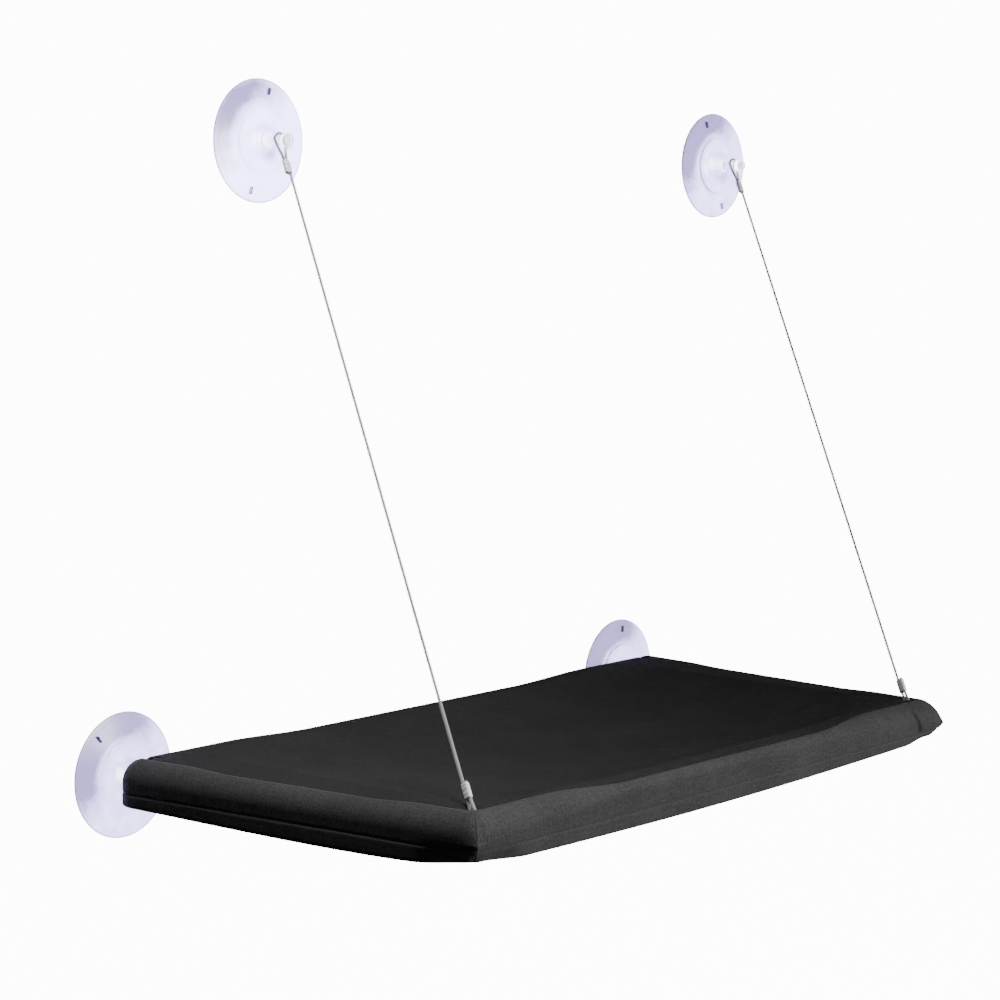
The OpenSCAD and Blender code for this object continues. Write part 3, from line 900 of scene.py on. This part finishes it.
# Middle line of the cloth at a station, as distance out and height
def sidePath(s):
    c = cover
    r = s["round"]
    seamZ = -seam["down"]
    outerR = c["sideR"] + seam["out"]
    points = []
    for i in range(sideSteps["round"] + 1):
        a = math.radians(90 - 90 * i / sideSteps["round"])
        points.append((c["sideR"] - r + r * math.cos(a), s["top"] - r + r * math.sin(a)))
    upper = points[-1][1]
    for i in range(1, sideSteps["wall"] + 1):
        points.append((c["sideR"], mix(upper, seamZ + seam["above"], i / sideSteps["wall"])))
    points.append((c["sideR"] - seam["in"], seamZ + seam["half"]))
    points.append((c["sideR"] - seam["in"], seamZ - seam["half"]))
    points.append((outerR, seamZ - seam["below"]))
    hemTop = s["hem"] + c["hemR"]
    for i in range(1, sideSteps["band"] + 1):
        points.append((outerR, mix(seamZ - seam["below"], hemTop, i / sideSteps["band"])))
    for i in range(1, sideSteps["hem"] + 1):
        a = math.radians(-180 * i / sideSteps["hem"])
        out = c["sideR"] - c["hemR"] + (c["hemR"] + seam["out"]) * math.cos(a)
        points.append((out, hemTop + c["hemR"] * math.sin(a)))
    inner = c["sideR"] - 2 * c["hemR"]
    points.append((inner, mix(hemTop, seamZ - 2 * c["hemR"], 0.5)))
    points.append((inner, seamZ - 2 * c["hemR"]))
    points.append((inner + c["hemR"] - seam["half"], seamZ - c["hemR"] / 2))
    return points


def wrinkle(x, y, z, strength):
    total = 0
    for fold in foldSizes:
        across = fold["across"]
        place = Vector((x * across + fold["shift"][0], y * across + fold["shift"][1], z * fold["up"]))
        total += fold["share"] * noise.noise(place)
    return strength * total


def creaseShare(x, z):
    c = crease
    middle = cover["endX"] - c["in"] + (c["fromZ"] - z) * c["lean"]
    wide = mix(c["narrow"], c["wide"], smooth((c["widenFrom"] - z) / c["widenOver"]))
    return math.exp(-((x - middle) / wide) ** 2) * smooth((c["topZ"] - z) / c["topFade"])


def buildSide(name, stations, cadNode):
    c = cover
    points, places = [], []
    for s in stations:
        path = sidePath(s)
        lengths = [0.0]
        for before, after in zip(path, path[1:]):
            lengths.append(lengths[-1] + math.dist(before, after))
        outer, inner, marks = [], [], []
        for i, (d, z) in enumerate(path):
            before = path[max(i - 1, 0)]
            after = path[min(i + 1, len(path) - 1)]
            run = (after[0] - before[0], after[1] - before[1])
            size = math.hypot(*run)
            normal = (-run[1] / size, run[0] / size)
            noiseX = s["x"] + c["wrinkleShift"] * math.cos(s["angle"])
            bulge = wrinkle(noiseX, s["y"], z, c["wrinkles"]) * min(1, i / c["wrinkleFade"])
            # dark: the crease's share, which pushes the cloth in and paints shadow on it
            dark = 0
            if name == "coverFront":
                dark = creaseShare(s["x"], z) * smooth((seamIndex - i) / crease["lowFade"])
                bulge -= dark * crease["roomShare"] * frameRoom(z)
            if i > hemIndex:
                bulge *= c["hemWrinkles"]
            for side, store in ((0.5, outer), (-0.5, inner)):
                out = d + normal[0] * c["clothT"] * side + cornerShift(s, z) + bulge
                x = s["x"] + out * math.cos(s["angle"])
                y = s["y"] + out * math.sin(s["angle"])
                store.append((x, y, z + normal[1] * c["clothT"] * side))
            # The top row of the cloth is made lighter; below zero the tint is the crease's painted shadow
            edgeLighter = c["topEdgeLighter"] if i == 0 else 0
            marks.append((s["gone"], lengths[i] - lengths[seamIndex], edgeLighter - dark))
        points += outer + inner[::-1]
        places += marks + marks[::-1]
    faces = [face[::-1] for face in ringFaces(len(stations), 2 * len(path))]
    piece = makeMesh(name, points, faces, finishes["sideCloth"])
    writePlaces(piece, "clothPlace", places)
    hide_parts(cadNode)
    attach(piece, "bed")


frontLeft = (-cover["endX"], cover["frontY"])
frontRight = (cover["endX"], cover["frontY"])
rearRight = (cover["rearX"], cover["rearY"])
slant = cover["slant"]
towardRoom = math.radians(-90)
towardGlass = math.radians(90)


# Stations of the right end's cloth, which turns both corners; mirrored they are the left end's
def endStations(drop):
    c = cover
    drops = (drop, drop)
    power = c["endSagPower"]
    return joinRuns(
        cornerTurn(frontRight, towardRoom, -slant, (0.5, 1), 8, 1, drop),
        sideRun(frontRight, rearRight, -slant, c["edgeRound"], c["endSag"], 90, drops, power, tucks=(1, 0)),
        cornerTurn(rearRight, -slant, towardGlass, (0, 1), 16, 0, drop),
    )


# Elastic that draws the hem in: a flat closed band inside it
def buildElastic(stations):
    c = cover
    points = []
    for s in stations:
        low = s["hem"] + c["hemR"] + c["elasticT"] / 2
        for out, up in ((-1, 0), (1, 0), (1, 1), (-1, 1)):
            z = low + up * c["elasticW"]
            d = c["sideR"] - c["hemR"] + out * c["elasticT"] / 2 + cornerShift(s, z)
            points.append((s["x"] + d * math.cos(s["angle"]), s["y"] + d * math.sin(s["angle"]), z))
    faces = ringFaces(len(stations), 4, closed=True)
    piece = makeMesh("hemElastic", points, faces, finishes["elastic"], flat=True)
    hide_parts("hem_elastic")
    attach(piece, "bed")


def buildCoverSides():
    c = cover
    drops = (c["dropLeft"], c["dropRight"])
    front = joinRuns(
        cornerTurn(frontLeft, -math.pi + slant, towardRoom, (0.5, 1), 8, 1, drops[0]),
        sideRun(frontLeft, frontRight, towardRoom, c["frontRound"], c["frontSag"], 240, drops, tucks=(1, 1)),
        cornerTurn(frontRight, towardRoom, -slant, (0, 0.5), 8, 1, drops[1]),
    )
    left = mirrorStations(endStations(drops[0]))
    right = endStations(drops[1])
    stop = c["neckX"] - c["neckGap"] / 2
    rearEnds = ((stop, c["rearY"]), (-stop, c["rearY"]))
    rear = sideRun(*rearEnds, towardGlass, c["edgeRound"], c["rearSag"], 150, drops[::-1])
    buildSide("coverFront", front, "cover_front")
    buildSide("coverRight", right, "cover_right")
    buildSide("coverLeft", left, "cover_left")
    buildSide("coverRear", rear, "cover_rear")
    buildElastic(joinRuns(front, right, rear, left))


# Deck: dished, with a few soft folds, slits for the loops and gaps round the lower cups' necks
deck = {
    "dip": 0.014,
    "rimX": 0.01365,        # from the end line to where the dish starts
    "rimY": 0.0068,
    "dishPower": 2.5,
    "foldHigh": 0.0007,
    "foldCount": 2.5,
    "frontPower": 3,
    "endPower": 8,
    "pull": 0.002,          # the strands draw the deck down
    "pullReach": 0.0045,
    "wrinkles": 0.0016,
    "wrinkleScaleX": 0.8,
    "wrinkleScaleY": 1.4,
    "slitHalfX": 0.0015,
    "slitHalfY": 0.0035,
    "slitSnap": (0.7, 1.35),    # places in this range of slit shares move onto the slit's edge
    "gapHalf": 0.0055,
    "gapDeep": 0.0045,
    "across": 200,
    "along": 110,
    "packing": 0.7,
}


def slitPlace(neck, pin):
    share = (cover["topZ"] - pin.z) / (neck.z - pin.z)
    return pin + (neck - pin) * share


slitPlaces = [slitPlace(neck, pin) for neck, pin in cableRuns.values()]


# How far a place is from the middle of a slit: 1 is on its edge
def slitShare(x, y, place):
    return math.hypot((x - place.x) / deck["slitHalfX"], (y - place.y) / deck["slitHalfY"])


def deckPoint(u, v, lift):
    c = cover
    d = deck
    ring = c["sideR"] - c["cornerRing"]

    def grow(rounding, t):
        return c["sideR"] - mix(ring, rounding, edgeShare(t)) - c["deckSeam"]

    half = mix(c["endX"], c["rearX"], v)
    growEnd = grow(c["edgeRound"], v)
    x = mix(-half - growEnd, half + growEnd, u)
    y = mix(c["frontY"] - grow(c["frontRound"], u), c["rearY"] + grow(c["edgeRound"], u), v)
    low, high = d["slitSnap"]
    for place in slitPlaces:
        share = slitShare(x, y, place)
        if low < share < high:
            x = place.x + (x - place.x) / share
            y = place.y + (y - place.y) / share
    depth = c["rearY"] - c["frontY"]
    sx = min(1, abs(x) / (c["endX"] - d["rimX"]))
    sy = min(1, abs(y - (c["frontY"] + c["rearY"]) / 2) / (depth / 2 - d["rimY"]))
    dish = (1 - sx ** d["dishPower"]) * (1 - sy ** d["dishPower"])
    folds = d["foldHigh"] * dish * math.sin(2 * math.pi * d["foldCount"] * (u + v / 2))
    edge = (v * c["rearSag"] + (1 - v) ** d["frontPower"] * c["frontSag"]) * edgeShare(u)
    edge += c["endSag"] * edgeShare(v) * abs(2 * u - 1) ** d["endPower"]
    for place in slitPlaces:
        square = (x - place.x) ** 2 + (y - place.y) ** 2
        edge += d["pull"] * math.exp(-square / d["pullReach"] ** 2)
    bulge = wrinkle(x * d["wrinkleScaleX"], y * d["wrinkleScaleY"], 0.0, d["wrinkles"]) * min(1, dish * 3)
    return (x, y, c["topZ"] - edge - d["dip"] * dish + folds + bulge + lift)


# Shares from 0 to 1, closer together near both ends
def endShares(count):
    shares = []
    for i in range(count + 1):
        turn = 2 * math.pi * i / count
        shares.append(i / count - deck["packing"] * math.sin(turn) / (2 * math.pi))
    return shares


# Whether the face between two opposite points is left out, for a neck's gap or a slit
def deckOpen(a, b):
    x, y = (a[0] + b[0]) / 2, (a[1] + b[1]) / 2
    if abs(abs(x) - cover["neckX"]) < deck["gapHalf"] and y > cover["rearY"] - deck["gapDeep"]:
        return True
    return any(slitShare(x, y, place) < 1 for place in slitPlaces)


def buildDeck():
    c = cover
    across, along = endShares(deck["across"]), endShares(deck["along"])
    points = []
    for lift in (c["clothT"] / 2, -c["clothT"] / 2):
        points += [deckPoint(u, v, lift) for v in along for u in across]
    row = len(across)
    layer = row * len(along)
    faces = []
    border = {}
    for j in range(len(along) - 1):
        for i in range(row - 1):
            a = j * row + i
            if deckOpen(points[a], points[a + row + 1]):
                continue
            loop = (a, a + 1, a + row + 1, a + row)
            faces.append(loop)
            faces.append(tuple(k + layer for k in reversed(loop)))
            # An edge that a second face runs the other way is no border
            for k in range(4):
                edge = (loop[k], loop[(k + 1) % 4])
                if edge[::-1] in border:
                    del border[edge[::-1]]
                else:
                    border[edge] = True
    for a, b in border:
        faces.append((b, a, a + layer, b + layer))
    piece = makeMesh("coverDeck", points, faces, finishes["deckCloth"])
    writePlaces(piece, "clothPlace", [(p[0], p[1], 0.0) for p in points])
    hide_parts("cover_deck")
    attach(piece, "bed")


buildCoverSides()
buildDeck()
print("cover built")

# Crimped sleeve: an oval band with pressed places and softened ends
sleeve = {
    "long": 0.010,
    "gap": 0.00005,
    "wall": 0.0006,
    "presses": 3,
    "pressDeep": 0.00012,
    "pressFade": 9,
    "endRound": 0.0005,
    "endFade": 12,
    "steps": 30,
    "sides": 28,
}


# The ways that a cable lies: down it, and across its upper and its lower loop
def cableWays(neck, pin):
    down = (pin - neck).normalized()
    upperWide = down.cross(Vector((0, 1, 0))).normalized()
    lowerWide = (-down).cross(Vector((1, 0, 0))).normalized()
    return down, upperWide, lowerWide


# Centre line of a loop: in along the tail, round the post, and out along the other side
def loopPath(post, ahead, across, postAxis, postR, openLen):
    c = cable
    back = postAxis.cross(across).normalized()
    turn = -back if back.dot(ahead) > 0 else back
    reach = openLen + sleeve["long"]

    def strand(side, far):
        line = []
        for i in range(c["strandSteps"] + 1):
            s = far * (1 - i / c["strandSteps"])
            off = mix(postR, c["strandOff"], smooth(s / openLen))
            line.append(post + ahead * s + across * off * side)
        return line

    arc = []
    for i in range(1, c["arcSteps"]):
        a = math.pi * i / c["arcSteps"]
        arc.append(post + across * postR * math.cos(a) + turn * postR * math.sin(a))
    return strand(-1, reach + c["tail"]) + arc[::-1] + strand(1, reach)[::-1]


def cablePath(neck, pin):
    c = cable
    down, upperWide, lowerWide = cableWays(neck, pin)
    top = loopPath(neck, down, upperWide, Vector((0, 1, 0)), c["neckLoopR"], c["neckLoop"])
    low = loopPath(pin, -down, lowerWide, Vector((1, 0, 0)), c["pinLoopR"], c["pinLoop"])
    steps = c["straightSteps"]
    straight = [top[-1].lerp(low[-1], i / steps) for i in range(1, steps)]
    return top + straight + low[::-1]


# Rings round a line, each turned as little as possible from the last
def tubeRings(path, radius, sides):
    points, places = [], []
    side = (path[1] - path[0]).cross(Vector((1, 1, 0.3)))
    gone = 0.0
    for i, p in enumerate(path):
        ahead = (path[min(i + 1, len(path) - 1)] - path[max(i - 1, 0)]).normalized()
        side = (side - ahead * side.dot(ahead)).normalized()
        up = ahead.cross(side)
        if i:
            gone += (p - path[i - 1]).length
        for k in range(sides):
            a = 2 * math.pi * k / sides
            points.append(p + radius * (math.cos(a) * side + math.sin(a) * up))
            places.append((gone, k / sides, 0.0))
    return points, places, gone


def ovalRing(halfGap, r, count):
    ring = []
    for k in range(count):
        a = 2 * math.pi * (k + 0.5) / count
        shift = halfGap if math.cos(a) > 0 else -halfGap
        ring.append((shift + r * math.cos(a), r * math.sin(a)))
    return ring


def buildSleeve(name, post, ahead, across, openLen, cadNode):
    s = sleeve
    third = ahead.cross(across)
    bore = cable["sheathR"] + s["gap"]
    rings = []
    for i in range(s["steps"] + 1):
        t = i / s["steps"]
        fromEnd = min(t, 1 - t)
        dents = 0.5 - 0.5 * math.cos(2 * math.pi * s["presses"] * t)
        press = s["pressDeep"] * dents * smooth(fromEnd * s["pressFade"])
        ends = s["endRound"] * (1 - min(1, fromEnd * s["endFade"])) ** 2
        rings.append((t, bore + s["wall"] - press - ends))
    rings += [(1, bore), (0, bore)]
    points = []
    for t, r in rings:
        for a, b in ovalRing(cable["strandOff"], r, s["sides"]):
            points.append(post + ahead * (openLen + s["long"] * t) + across * a + third * b)
    faces = ringFaces(len(rings), s["sides"], closed=True)
    piece = makeMesh(name, points, faces, finishes["sleeve"])
    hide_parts(cadNode)
    return piece


def buildCable(side, neck, pin):
    c = cable
    low = side.lower()
    path = cablePath(neck, pin)
    down, upperWide, lowerWide = cableWays(neck, pin)
    upperSleeve = buildSleeve(
        "sleeveUpper" + side, neck, down, upperWide, c["neckLoop"], "sleeve_upper_" + low,
    )
    lowerSleeve = buildSleeve(
        "sleeveLower" + side, pin, -down, lowerWide, c["pinLoop"], "sleeve_lower_" + low,
    )
    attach(upperSleeve, "glass_fixings")
    bent = [lowerSleeve]
    layers = (("sheath", c["sheathR"], c["sheathSides"]), ("wires", c["coreR"], c["coreSides"]))
    for part, radius, sides in layers:
        points, places, length = tubeRings(path, radius, sides)
        piece = makeMesh(part + side, points, ringFaces(len(path), sides), finishes[part])
        writePlaces(piece, "cordPlace", places)
        bent.append(piece)
    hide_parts("cable_" + low)
    for piece in bent:
        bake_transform(piece)


for side, (neck, pin) in cableRuns.items():
    buildCable(side, neck, pin)
print("cables built")


# Studio: a white wall and floor that are seen but hardly light the bed, and soft lamps in front and above
studio = {
    "seenWall": 13.0,
    "wallThroughVinyl": 12.0,
    "wallAsLight": 0.05,
    "floorDrop": 0.5,
    "floorHalf": 6.0,
    "floorTone": 0.86,
    "floorRough": 0.9,
}
keyLamp = {
    "place": (1.1, -3.0, 0.12),
    "aim": (0, -0.15, 0.15),
    "size": 1.3,
    "power": 120,
    "spread": 180,
}
topLamp = {
    "place": (-0.3, -0.25, 1.5),
    "aim": (-0.25, -0.2, 0),
    "size": 0.4,
    "power": 1.9,
    "spread": 44,
}


def addFloor():
    s = studio
    size = s["floorHalf"]
    z = cadBox[0].z - s["floorDrop"]
    points = [(-size, -size, z), (size, -size, z), (size, size, z), (-size, size, z)]
    paint = Finish("paleFloor", {
        "Base Color": shade(s["floorTone"], s["floorTone"], s["floorTone"]),
        "Roughness": s["floorRough"],
        "Emission Color": shade(1, 1, 1),
        "Emission Strength": s["seenWall"],
    })
    floor = makeMesh("floor", points, [(0, 1, 2, 3)], paint.material, flat=True)
    floor.visible_diffuse = False
    floor.visible_glossy = False
    floor.visible_transmission = False


def addLamp(name, plan):
    data = bpy.data.lights.new(name, "AREA")
    data.shape = "DISK"
    data.size = plan["size"]
    data.energy = plan["power"]
    data.spread = math.radians(plan["spread"])
    lamp = bpy.data.objects.new(name, data)
    bpy.context.scene.collection.objects.link(lamp)
    lamp.location = plan["place"]
    way = Vector(plan["aim"]) - Vector(plan["place"])
    lamp.rotation_euler = way.to_track_quat("-Z", "Y").to_euler()


# The wall's strength depends on the ray: seen, through the vinyl, or as light
def lightStudio():
    world = bpy.data.worlds.new("studio")
    bpy.context.scene.world = world
    world.use_nodes = True
    bench = Bench(world.node_tree)
    seen = bench.node("ShaderNodeLightPath", out="Is Camera Ray")
    through = Wire(bench, seen.socket.node.outputs["Is Transmission Ray"])
    strength = seen * studio["seenWall"] + through * studio["wallThroughVinyl"] + studio["wallAsLight"]
    back = world.node_tree.nodes["Background"]
    back.inputs["Color"].default_value = shade(1, 1, 1)
    world.node_tree.links.new(strength.socket, back.inputs["Strength"])
    addLamp("keyLight", keyLamp)
    addLamp("topLight", topLamp)


addFloor()
lightStudio()
print("studio lit")
